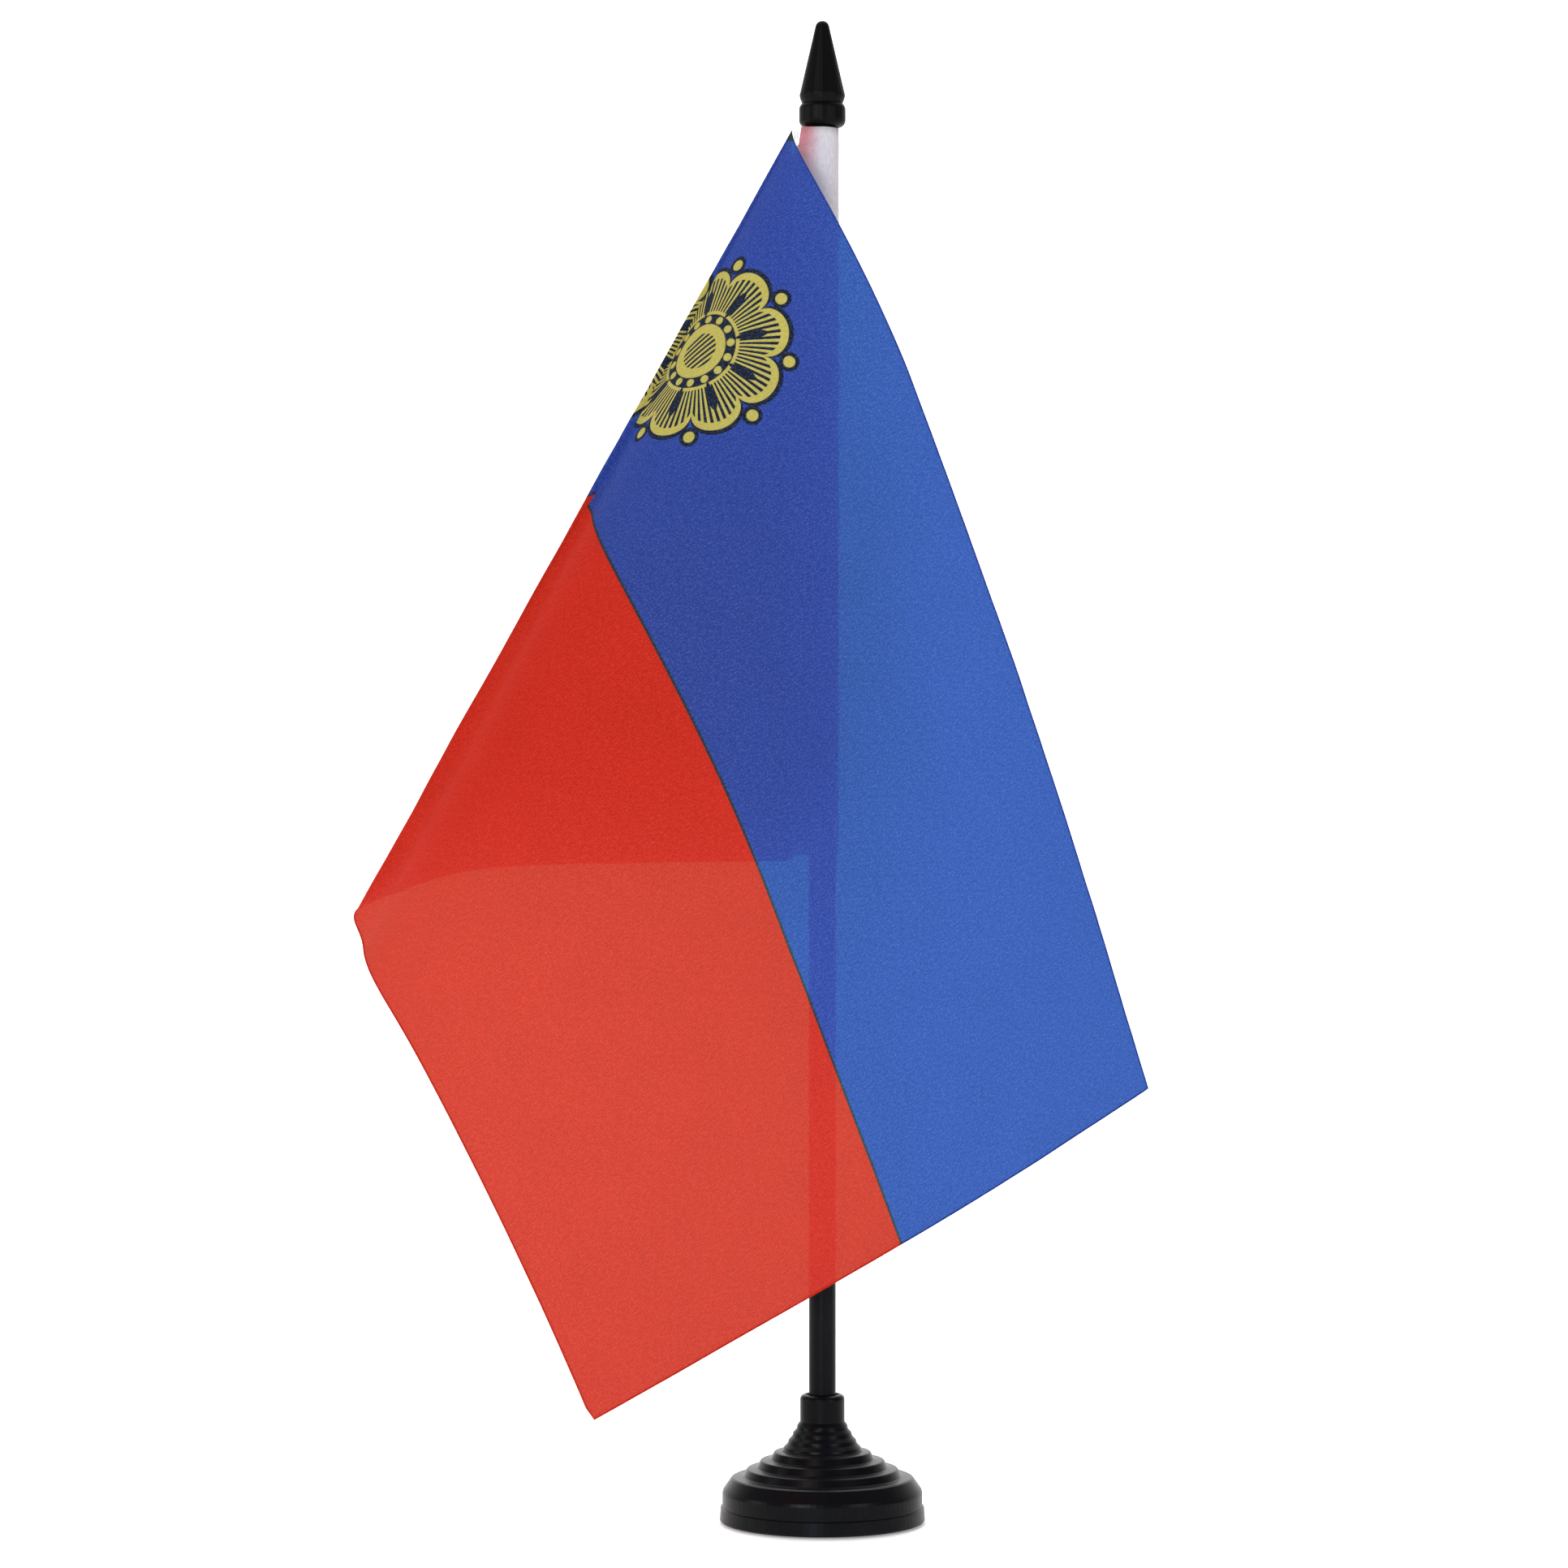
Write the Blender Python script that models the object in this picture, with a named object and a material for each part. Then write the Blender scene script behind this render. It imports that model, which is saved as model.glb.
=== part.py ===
"""Desk flag stand: weighted round base, thin pole with a pointed cap, and a two-stripe cloth flag.

Metres, +Z up. The origin is the middle of the underside, on the pole's axis. The flag leaves its
sleeve towards -X, folds over on a diagonal and falls back across the front of the pole (-Y).
"""
import math

import bmesh
import bpy
from mathutils import Matrix, Vector

MM = 0.001
GAP = 0.3 * MM                    # clearance between neighbouring pieces
LATHE_STEPS = 96
SMALL_LATHE_STEPS = 32
SMOOTH_ANGLE = math.radians(40)

# Base
FOOT_RADIUS = 19.8 * MM           # foot band at the bottom of the skirt
FOOT_TOP = 3.1 * MM
SKIRT_RADIUS = 19.3 * MM
SKIRT_TOP = 5.9 * MM
SHOULDER_RADIUS = 17.5 * MM       # inner end of the bevel, where the flat ledge starts
SHOULDER_TOP = 9.0 * MM
RING_STEPS = 3                    # broad rounded steps between the ledge and the neck
RING_FOOT_RADIUS = 15.6 * MM      # outer foot of the lowest ring
NECK_FOOT_RADIUS = 7.7 * MM
NECK_FOOT_HEIGHT = 13.9 * MM
NECK_STEPS = 4                    # fine steps up the neck
RING_TREAD = 0.66                 # share of a ring's width that is tread
RING_TREAD_FALL = 0.12 * MM
RING_ROUND = 0.42 * MM
RING_RISER = 0.5 * MM             # how far the riser leans out
RING_HOLLOW = 0.06                # share of a ring's width taken by the hollow at its foot
NECK_TREAD = 0.12                 # shares of the neck's height and width
NECK_BULGE = 0.07
NECK_FLARE = 1.15
COLLAR_RADIUS = 4.3 * MM
COLLAR_FOOT = 19.6 * MM
COLLAR_TOP = 24.8 * MM
COLLAR_ROUND = 0.9 * MM
RIM_CHAMFER = 0.4 * MM            # at the socket's mouth
EDGE = 0.3 * MM                   # small edge break
WALL = 1.5 * MM
SKIRT_BOTTOM = 0.4 * MM
CEILING = 7.2 * MM                # underside of the dome
BOSS_RADIUS = 4.4 * MM
BOSS_BOTTOM = 2.7 * MM
SOCKET_FLOOR = 5.0 * MM

# Bottom pieces
PAD_THICKNESS = 0.9 * MM
PAD_RADIUS = 16.8 * MM
COVER_THICKNESS = 1.0 * MM

# Pole and cap
POLE_RADIUS = 2.6 * MM
SOCKET_RADIUS = 3.0 * MM
POLE_TOP = 277.5 * MM
CAP_BOTTOM = 269.4 * MM
CAP_TOP = 290.0 * MM
CAP_BEAD_RADIUS = 4.5 * MM
CAP_BEAD_ROUND = 1.3 * MM
CAP_GROOVE_RADIUS = 4.0 * MM
CAP_GROOVE_HEIGHT = 274.2 * MM
CAP_CONE_RADIUS = 4.4 * MM
CAP_CONE_FOOT = 275.4 * MM
CAP_TIP_RADIUS = 1.35 * MM

# Flag
FLAG_HEIGHT = 140 * MM            # along the pole
FLAG_LENGTH = 206.5 * MM          # from the sleeve's seam to the free edge
FLAG_TOP = 269.0 * MM
CORNER_DROP = 0.8 * MM            # the printed cloth starts this far below the sleeve's top
CLOTH_THICKNESS = 0.5 * MM
SLEEVE_RADIUS = 3.65 * MM
SLEEVE_TAIL = 0.9 * MM            # thickness of the sleeve's flat tail at the seam
SEAM_RADIUS = 7.2 * MM            # where the sleeve's tail meets the printed cloth
FLAG_AZIMUTH = math.radians(38.5)  # the rear half leaves the pole towards -X, turned this far to -Y
REAR_FIRST_ANGLE = math.radians(8.4)  # bend lines, measured from the hoist
REAR_LAST_ANGLE = math.radians(30.0)
REAR_TURN = math.radians(58)
REAR_LINES = 8
FAN_REACH = 8 * MM                # the fold's bend lines fan out from this far above the top corner
FOLD_START = math.radians(30.5)
FOLD_SPREAD = math.radians(4.1)
FOLD_TURN = math.radians(224)
FOLD_TIGHTNESS = 0.67             # how much the turn gathers in the middle of the fold
FOLD_LINES = 14
# Gentle bends of the front half. Each row: distance along the top edge from the fold, how much
# further the bend lines have swung from the hoist by then, and the turn taken up to there.
DRAPE = (
    (15 * MM, math.radians(8), math.radians(-52)),
    (35 * MM, math.radians(0), math.radians(-19)),
    (60 * MM, math.radians(4), math.radians(-22)),
    (90 * MM, math.radians(9.5), math.radians(-1)),
    (130 * MM, math.radians(0), math.radians(-5)),
    (170 * MM, math.radians(0), math.radians(-4)),
)
DRAPE_LINES = 3                   # bend lines in each row of the drape
OPENING = 0.044                   # how far each half stands off beside the fold, per length of fold
OPENING_ONSET = 5 * MM            # distances from the fold over which it opens and closes again
OPENING_REACH = 30 * MM
OPENING_SEAM = 10 * MM            # it starts this far from the seam, which holds the cloth straight
REAR_COLUMNS = 3
TIP_COLUMNS = 4
CLOTH_ROWS = 10


def clear_scene():
    for item in list(bpy.data.objects):
        bpy.data.objects.remove(item, do_unlink=True)


def plastic(name, colour, roughness, metallic=0.0):
    material = bpy.data.materials.new(name)
    material.use_nodes = True
    shader = material.node_tree.nodes["Principled BSDF"]
    shader.inputs["Base Color"].default_value = (*colour, 1.0)
    shader.inputs["Roughness"].default_value = roughness
    shader.inputs["Metallic"].default_value = metallic
    return material


def add_object(name, shape, material):
    mesh = bpy.data.meshes.new(name)
    shape.to_mesh(mesh)
    shape.free()
    mesh.materials.append(material)
    mesh.shade_smooth()
    mesh.set_sharp_from_angle(angle=SMOOTH_ANGLE)
    item = bpy.data.objects.new(name, mesh)
    bpy.context.collection.objects.link(item)
    return item


def lathe(name, outline, material, steps=LATHE_STEPS):
    """Closed turned body. The outline lists (radius, height) down the outer side and up the inner
    side; a point on the axis closes that end."""
    shape = bmesh.new()
    rings = []
    for radius, height in outline:
        if radius < 1e-7:
            rings.append([shape.verts.new((0, 0, height))])
            continue
        ring = []
        for step in range(steps):
            angle = math.tau * step / steps
            ring.append(shape.verts.new((radius * math.cos(angle), radius * math.sin(angle), height)))
        rings.append(ring)
    closed = len(rings[0]) > 1 and len(rings[-1]) > 1
    pairs = list(zip(rings, rings[1:] + rings[:1])) if closed else list(zip(rings, rings[1:]))
    for upper, lower in pairs:
        for step in range(steps):
            following = (step + 1) % steps
            corners = [upper[step % len(upper)], lower[step % len(lower)],
                       lower[following % len(lower)], upper[following % len(upper)]]
            distinct = list(dict.fromkeys(corners))
            if len(distinct) > 2:
                shape.faces.new(distinct)
    bmesh.ops.recalc_face_normals(shape, faces=shape.faces)
    return add_object(name, shape, material)


def arc(centre_radius, centre_height, radius, start, end, count):
    """Points on an arc of the outline; angles in degrees from the outward direction."""
    points = []
    for index in range(count + 1):
        angle = math.radians(start + (end - start) * index / count)
        points.append((centre_radius + radius * math.cos(angle), centre_height + radius * math.sin(angle)))
    return points


def ring_outline():
    """The broad steps, from the neck's foot out to the ledge: each has a nearly flat tread, a
    rounded edge and a hollow at its foot."""
    points = []
    width = (RING_FOOT_RADIUS - NECK_FOOT_RADIUS) / RING_STEPS
    rise = (NECK_FOOT_HEIGHT - SHOULDER_TOP) / RING_STEPS
    for step in range(RING_STEPS):
        inner = NECK_FOOT_RADIUS + step * width
        top = NECK_FOOT_HEIGHT - step * rise
        edge = inner + RING_TREAD * width
        points.append((inner + RING_HOLLOW * width, top))
        points += arc(edge - RING_ROUND, top - RING_TREAD_FALL - RING_ROUND, RING_ROUND, 85, 15, 3)
        points.append((edge + RING_RISER, top - rise + RING_TREAD_FALL))
    return points


def neck_outline():
    """The fine steps, from the collar's foot down a hollow curve to the neck's foot."""
    points = []
    width = NECK_FOOT_RADIUS - COLLAR_RADIUS
    height = COLLAR_FOOT - NECK_FOOT_HEIGHT
    for step in range(NECK_STEPS):
        top = step / NECK_STEPS
        bottom = (step + 1) / NECK_STEPS
        edge = top + NECK_TREAD
        foot = bottom - NECK_TREAD / 2
        for share, bulge in ((top, 0.0), (edge, NECK_BULGE), (foot, NECK_BULGE / 3)):
            radius = COLLAR_RADIUS + width * (share ** NECK_FLARE + bulge)
            points.append((radius, COLLAR_FOOT - height * share))
    return points[1:]


def make_base_shell(material):
    socket = [(SOCKET_RADIUS, COLLAR_TOP - COLLAR_ROUND / 2), (SOCKET_RADIUS + RIM_CHAMFER, COLLAR_TOP)]
    collar = arc(COLLAR_RADIUS - COLLAR_ROUND, COLLAR_TOP - COLLAR_ROUND, COLLAR_ROUND, 75, 0, 4)
    collar.append((COLLAR_RADIUS, COLLAR_FOOT))
    skirt = [
        (RING_FOOT_RADIUS, SHOULDER_TOP),
        (SHOULDER_RADIUS - EDGE, SHOULDER_TOP - EDGE / 3),
        (SHOULDER_RADIUS + EDGE / 3, SHOULDER_TOP - EDGE),
        (SKIRT_RADIUS - EDGE / 2, SKIRT_TOP + 2 * EDGE),
        (SKIRT_RADIUS, SKIRT_TOP),
        (SKIRT_RADIUS, FOOT_TOP + EDGE / 2),
        (FOOT_RADIUS - EDGE / 2, FOOT_TOP),
        (FOOT_RADIUS, SKIRT_BOTTOM + EDGE),
        (FOOT_RADIUS - EDGE, SKIRT_BOTTOM),
    ]
    inside = [
        (SKIRT_RADIUS - WALL, SKIRT_BOTTOM),
        (SKIRT_RADIUS - WALL, SKIRT_TOP - WALL / 2),
        (SHOULDER_RADIUS - WALL, CEILING),
        (BOSS_RADIUS, CEILING),
        (BOSS_RADIUS, BOSS_BOTTOM),
        (0, BOSS_BOTTOM),
    ]
    # The outline starts on the axis at the socket's floor and ends on it at the boss's underside.
    floor = [(0, SOCKET_FLOOR), (SOCKET_RADIUS, SOCKET_FLOOR)]
    outline = floor + socket + collar + neck_outline() + ring_outline() + skirt + inside
    return lathe("base_shell", outline, material)


def bottom_heights():
    pad_top = PAD_THICKNESS
    cover_bottom = pad_top + GAP
    cover_top = cover_bottom + COVER_THICKNESS
    return pad_top, cover_bottom, cover_top


def make_ballast(material):
    bottom = bottom_heights()[2] + GAP
    top = CEILING - GAP
    inner = BOSS_RADIUS + GAP
    outer = SHOULDER_RADIUS - WALL - GAP
    outline = [(inner, top), (outer - EDGE, top), (outer, top - EDGE), (outer, bottom), (inner, bottom)]
    return lathe("ballast_disc", outline, material)


def make_cover(material):
    bottom, top = bottom_heights()[1:]
    radius = SKIRT_RADIUS - WALL - GAP
    outline = [(0, top), (radius - EDGE, top), (radius, top - EDGE), (radius, bottom), (0, bottom)]
    return lathe("base_cover", outline, material)


def make_pad(material):
    top = bottom_heights()[0]
    outline = [(0, top), (PAD_RADIUS, top), (PAD_RADIUS, EDGE / 2), (PAD_RADIUS - EDGE / 2, 0), (0, 0)]
    return lathe("base_pad", outline, material)


def make_pole(material):
    bottom = SOCKET_FLOOR + GAP
    outline = [
        (0, POLE_TOP),
        (POLE_RADIUS - EDGE, POLE_TOP),
        (POLE_RADIUS, POLE_TOP - EDGE),
        (POLE_RADIUS, bottom + EDGE),
        (POLE_RADIUS - EDGE, bottom),
        (0, bottom),
    ]
    return lathe("pole", outline, material, SMALL_LATHE_STEPS)


def make_finial(material):
    bore = POLE_RADIUS + GAP
    bead_middle = CAP_BEAD_RADIUS - CAP_BEAD_ROUND
    bead_top = CAP_GROOVE_HEIGHT - EDGE
    outline = [(0, CAP_TOP)]
    outline += arc(0, CAP_TOP - CAP_TIP_RADIUS, CAP_TIP_RADIUS, 60, 12, 3)
    outline += [
        (CAP_CONE_RADIUS - EDGE / 2, CAP_CONE_FOOT + 3 * EDGE),
        (CAP_CONE_RADIUS, CAP_CONE_FOOT + EDGE),
        (CAP_CONE_RADIUS, CAP_CONE_FOOT),
        (CAP_CONE_RADIUS - EDGE / 2, CAP_CONE_FOOT - 2 * EDGE),
        (CAP_GROOVE_RADIUS, CAP_GROOVE_HEIGHT),
    ]
    outline += arc(bead_middle, bead_top - CAP_BEAD_ROUND * math.sin(math.radians(55)), CAP_BEAD_ROUND, 55, 0, 4)
    outline += arc(bead_middle, CAP_BOTTOM + CAP_BEAD_ROUND, CAP_BEAD_ROUND, 0, -75, 4)
    outline += [(bore + EDGE, CAP_BOTTOM), (bore, CAP_BOTTOM + EDGE)]
    outline += [(bore, POLE_TOP + GAP), (0, POLE_TOP + GAP)]
    return lathe("finial", outline, material, SMALL_LATHE_STEPS)


def azimuth_turn():
    """Turns local +X, which runs from the pole towards the seam, to the flag's own direction."""
    return Matrix.Rotation(math.pi + FLAG_AZIMUTH, 3, "Z")


def make_sleeve(material):
    """Cloth tube with a flat tail towards the seam, like a drawn-out drop."""
    outer = []
    inner = []
    tail_half = SLEEVE_TAIL / 2
    tail_angle = math.acos(SLEEVE_RADIUS / SEAM_RADIUS)
    steps = SMALL_LATHE_STEPS
    angles = [tail_angle + (math.tau - 2 * tail_angle) * step / steps for step in range(steps + 1)]
    for angle in angles:
        outer.append(Vector((SLEEVE_RADIUS * math.cos(angle), SLEEVE_RADIUS * math.sin(angle), 0)))
    outer.append(Vector((SEAM_RADIUS, -tail_half, 0)))
    outer.append(Vector((SEAM_RADIUS, tail_half, 0)))
    bore = POLE_RADIUS + GAP
    for angle in angles + [-tail_angle / 3, tail_angle / 3]:
        inner.append(Vector((bore * math.cos(angle), bore * math.sin(angle), 0)))
    turn = azimuth_turn()
    shape = bmesh.new()
    levels = []
    for height in (FLAG_TOP, FLAG_TOP - FLAG_HEIGHT):
        lift = Vector((0, 0, height))
        levels.append([[shape.verts.new(turn @ point + lift) for point in loop] for loop in (outer, inner)])
    (top_outer, top_inner), (bottom_outer, bottom_inner) = levels
    count = len(outer)
    for step in range(count):
        following = (step + 1) % count
        for ring_a, ring_b in ((top_outer, bottom_outer), (bottom_outer, bottom_inner),
                               (bottom_inner, top_inner), (top_inner, top_outer)):
            shape.faces.new((ring_a[step], ring_b[step], ring_b[following], ring_a[following]))
    bmesh.ops.recalc_face_normals(shape, faces=shape.faces)
    return add_object("flag_sleeve", shape, material)


def fan_centre():
    return Vector((-math.sin(FOLD_START), -math.cos(FOLD_START))) * FAN_REACH


def rear_lines():
    """Lines through the top corner about which the rear half curves before the fold."""
    corner = Vector((0, 0))
    lines = []
    for step in range(REAR_LINES):
        share = step / (REAR_LINES - 1)
        angle = REAR_FIRST_ANGLE + (REAR_LAST_ANGLE - REAR_FIRST_ANGLE) * share
        lines.append((corner, angle, REAR_TURN / REAR_LINES))
    return lines


def fold_lines():
    lines = []
    for step in range(FOLD_LINES):
        share = (step + 0.5) / FOLD_LINES
        weight = 1 - FOLD_TIGHTNESS * math.cos(math.tau * share)
        lines.append((fan_centre(), FOLD_START + FOLD_SPREAD * share, weight * FOLD_TURN / FOLD_LINES))
    return lines


def drape_lines():
    centre = fan_centre()
    angle = FOLD_START + FOLD_SPREAD
    along = centre.x - centre.y * math.tan(angle)
    start = 0.0
    lines = []
    for reach, swing, turn in DRAPE:
        for step in range(DRAPE_LINES):
            share = (step + 0.5) / DRAPE_LINES
            point = Vector((along + start + (reach - start) * share, 0))
            lines.append((point, angle + swing * share, turn / DRAPE_LINES))
        angle += swing
        start = reach
    return lines


def bend_lines():
    """Lines of the flat cloth about which it bends, hoist to fly: (point on the line, angle from
    the hoist, turn). Flat points are (distance from the seam, distance below the top edge)."""
    return rear_lines() + fold_lines() + drape_lines()


def opening(flat):
    """How far this point of the cloth stands off towards -Y, which keeps the two halves apart
    beside the fold: the rear half moves back, the front half forward."""
    middle = FOLD_START + FOLD_SPREAD / 2
    offset = flat - fan_centre()
    across = offset.x * math.cos(middle) - offset.y * math.sin(middle)
    along = max(offset.x * math.sin(middle) + offset.y * math.cos(middle), 0.0)
    fade = math.exp(-(across / OPENING_REACH) ** 2) * (1 - math.exp(-(flat.x / OPENING_SEAM) ** 2))
    return OPENING * along * math.tanh(across / OPENING_ONSET) * fade


def strip_placements(lines):
    """One placement per flat strip between bend lines, each turned about its line from the last."""
    sideways = azimuth_turn() @ Vector((1, 0, 0))
    down = Vector((0, 0, -1))
    placement = Matrix((sideways, down.cross(sideways), down)).transposed().to_4x4()
    corner = sideways * (SEAM_RADIUS + GAP)
    placement.translation = Vector((corner.x, corner.y, FLAG_TOP - CORNER_DROP))
    placements = [placement]
    for point, angle, turn in lines:
        pivot = Vector((point.x, 0, point.y))
        axis = Vector((math.sin(angle), 0, math.cos(angle)))
        hinge = Matrix.Translation(pivot) @ Matrix.Rotation(turn, 4, axis) @ Matrix.Translation(-pivot)
        placements.append(placements[-1] @ hinge)
    return placements


def column_ends(point, angle):
    """Where a bend line enters the cloth at its top edge and leaves it below or at the fly."""
    start = point.x - point.y * math.tan(angle)
    end = Vector((start + FLAG_HEIGHT * math.tan(angle), FLAG_HEIGHT))
    if end.x > FLAG_LENGTH:
        end = Vector((FLAG_LENGTH, (FLAG_LENGTH - start) / math.tan(angle)))
    return Vector((start, 0)), end


def cloth_columns(lines):
    """Columns of the cloth's mesh as (top end, lower end, strips before, strips after)."""
    corner = Vector((0, 0))
    first_end = column_ends(lines[0][0], lines[0][1])[1]
    columns = []
    for step in range(REAR_COLUMNS):
        foot = Vector((first_end.x * step / REAR_COLUMNS, FLAG_HEIGHT))
        columns.append((corner, foot, 0, 0))
    for index, (point, angle, _turn) in enumerate(lines):
        top, end = column_ends(point, angle)
        previous_top, previous_end = columns[-1][:2]
        if end.x >= FLAG_LENGTH and previous_end.x < FLAG_LENGTH:
            fly_corner = Vector((FLAG_LENGTH, FLAG_HEIGHT))
            columns.append(((previous_top + top) / 2, fly_corner, index, index))
        columns.append((top, end, index, index + 1))
    last_top, last_end = columns[-1][:2]
    tip = Vector((FLAG_LENGTH, 0))
    for step in range(1, TIP_COLUMNS + 1):
        share = step / TIP_COLUMNS
        columns.append((last_top.lerp(tip, share), last_end.lerp(tip, share), len(lines), len(lines)))
    return columns


def make_cloth(material):
    lines = bend_lines()
    placements = strip_placements(lines)
    shape = bmesh.new()
    grids = []
    for side in (1, -1):
        grid = []
        for top, end, before, after in cloth_columns(lines):
            normal = (placements[before].col[1] + placements[after].col[1]).to_3d().normalized()
            column = []
            for row in range(CLOTH_ROWS + 1):
                flat = top.lerp(end, row / CLOTH_ROWS)
                point = placements[after] @ Vector((flat.x, 0, flat.y))
                point.y -= opening(flat)
                column.append(shape.verts.new(point + normal * (side * CLOTH_THICKNESS / 2)))
            grid.append(column)
        grids.append(grid)
    front, back = grids
    last = len(front) - 1
    for column in range(last):
        for row in range(CLOTH_ROWS):
            for grid in (front, back):
                shape.faces.new((grid[column][row], grid[column][row + 1],
                                 grid[column + 1][row + 1], grid[column + 1][row]))
        for row in (0, CLOTH_ROWS):
            shape.faces.new((front[column][row], front[column + 1][row],
                             back[column + 1][row], back[column][row]))
    for row in range(CLOTH_ROWS):
        for column in (0, last):
            shape.faces.new((front[column][row], front[column][row + 1],
                             back[column][row + 1], back[column][row]))
    bmesh.ops.remove_doubles(shape, verts=shape.verts, dist=0.01 * MM)
    bmesh.ops.recalc_face_normals(shape, faces=shape.faces)
    return add_object("flag_cloth", shape, material)


def build():
    clear_scene()
    black = plastic("black_plastic", (0.012, 0.012, 0.014), 0.35)
    hidden_black = plastic("matte_black_plastic", (0.02, 0.02, 0.02), 0.6)
    steel = plastic("ballast_steel", (0.35, 0.34, 0.33), 0.5, 1.0)
    rubber = plastic("foam_rubber", (0.03, 0.03, 0.03), 0.9)
    white_cloth = plastic("white_satin", (0.8, 0.8, 0.82), 0.6)
    blue_cloth = plastic("blue_satin", (0.05, 0.13, 0.47), 0.55)
    make_base_shell(black)
    make_ballast(steel)
    make_cover(hidden_black)
    make_pad(rubber)
    pole = make_pole(black)
    make_finial(black).parent = pole
    sleeve = make_sleeve(white_cloth)
    sleeve.parent = pole
    make_cloth(blue_cloth).parent = sleeve


build()
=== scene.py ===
"""Desk flag stand: a black plastic base, pole and pointed cap, and a folded two-stripe satin flag.

Metres, +Z up. The pole is the Z axis, and the flag's front half hangs on the -Y side of it.
"""
import math

import bmesh
import bpy
from mathutils import Matrix, Vector, noise


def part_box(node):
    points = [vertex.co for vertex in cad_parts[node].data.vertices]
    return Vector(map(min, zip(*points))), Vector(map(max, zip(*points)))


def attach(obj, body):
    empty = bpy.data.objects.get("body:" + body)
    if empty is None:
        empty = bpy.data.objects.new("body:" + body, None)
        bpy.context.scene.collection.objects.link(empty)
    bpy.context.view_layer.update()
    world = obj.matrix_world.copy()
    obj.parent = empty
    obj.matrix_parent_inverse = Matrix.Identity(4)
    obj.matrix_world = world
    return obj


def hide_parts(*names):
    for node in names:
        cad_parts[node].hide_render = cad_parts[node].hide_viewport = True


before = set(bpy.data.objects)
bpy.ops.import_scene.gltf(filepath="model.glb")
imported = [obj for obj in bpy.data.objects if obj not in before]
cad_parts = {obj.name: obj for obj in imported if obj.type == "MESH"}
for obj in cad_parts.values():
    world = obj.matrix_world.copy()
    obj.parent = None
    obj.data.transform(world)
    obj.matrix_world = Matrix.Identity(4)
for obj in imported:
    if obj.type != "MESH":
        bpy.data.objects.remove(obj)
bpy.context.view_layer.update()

MM = 0.001

# Cloth, as cut
FLAG_HEIGHT = 140 * MM
FLAG_LENGTH = 206.5 * MM
SEAM_RADIUS = 7.5 * MM            # where the printed cloth starts, beside the sleeve's tail
FLAG_AZIMUTH = math.radians(38.5)
FLAG_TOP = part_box("flag_sleeve")[1][2]
REAR_ANGLES = (math.radians(8.4), math.radians(30.0))
REAR_TURN = math.radians(58)
REAR_LINES = 32
FAN_REACH = 8 * MM
FOLD_START = math.radians(30.5)
FOLD_SPREAD = math.radians(4.1)
FOLD_TURN = math.radians(224)
FOLD_TIGHTNESS = 0.67
FOLD_LINES = 36
# Reach along the top edge from the fold, swing of the bend lines, turn, all up to there.
DRAPE = (
    (15 * MM, math.radians(8), math.radians(-52)),
    (35 * MM, math.radians(0), math.radians(-19)),
    (60 * MM, math.radians(4), math.radians(-22)),
    (90 * MM, math.radians(9.5), math.radians(-1)),
    (130 * MM, math.radians(0), math.radians(-5)),
    (170 * MM, math.radians(0), math.radians(-4)),
)
DRAPE_LINES = 14
OPENING = 0.044
OPENING_ONSET = 5 * MM
OPENING_REACH = 30 * MM
OPENING_SEAM = 10 * MM
REAR_COLUMNS = 10
TIP_COLUMNS = 20
CLOTH_ROWS = 110
TIP_SAG = 6.5 * MM                # the cloth hangs on the bias at the fold and stretches there
TIP_AT = 90 * MM
TIP_WIDTHS = (14 * MM, 28 * MM)
RIPPLE = 0.18 * MM                # soft unevenness of the woven cloth
RIPPLE_SCALES = (55, (140, 120))  # per metre: broad, and finer along and down the cloth
RIPPLE_SHARE = 0.5                # of the finer one
EDGE_RADIUS = 0.16 * MM           # the cut edge is melted to a thin bead

# Sleeve
SLEEVE_RADIUS = 3.55 * MM
SLEEVE_SHIFT = 0.5 * MM           # the cloth pulls the loop off the pole's middle, towards the seam
NOTCH_START = 4.1 * MM            # the tail's top edge dips beside the flag's corner
NOTCH_WIDTH = 0.8 * MM
NOTCH_DEPTH = 5.5 * MM
NOTCH_FADE = 9
CORNER_DROP = 1.0 * MM            # the printed cloth starts this far below the sleeve's top
SLEEVE_CLOTH = 0.3 * MM
SLEEVE_TAIL = 0.7 * MM
STITCH_LENGTH = 2.2 * MM
STITCH_GAP = 0.5 * MM
STITCH_RADIUS = 0.13 * MM
STITCH_INSET = 1.1 * MM
STITCH_SIDES = 6
STITCH_RINGS = 5
SLEEVE_STEPS = 56
SLEEVE_ROWS = 90
TAIL_STEPS = 6
SLEEVE_CREASE = 0.14 * MM
CREASE_SCALES = (45, 160)         # per metre up the sleeve: slow waves and small puckers
CREASE_SHARE = 0.6                # of the puckers
TUBE_SHARE = 0.9                  # where the round part gives way to the tail
TAIL_END = 0.2 * MM               # the tail stops this far short of the seam
THINNEST = 0.03 * MM
EDGE_SIDES = 6
EDGE_STEP = 0.35 * MM

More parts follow.
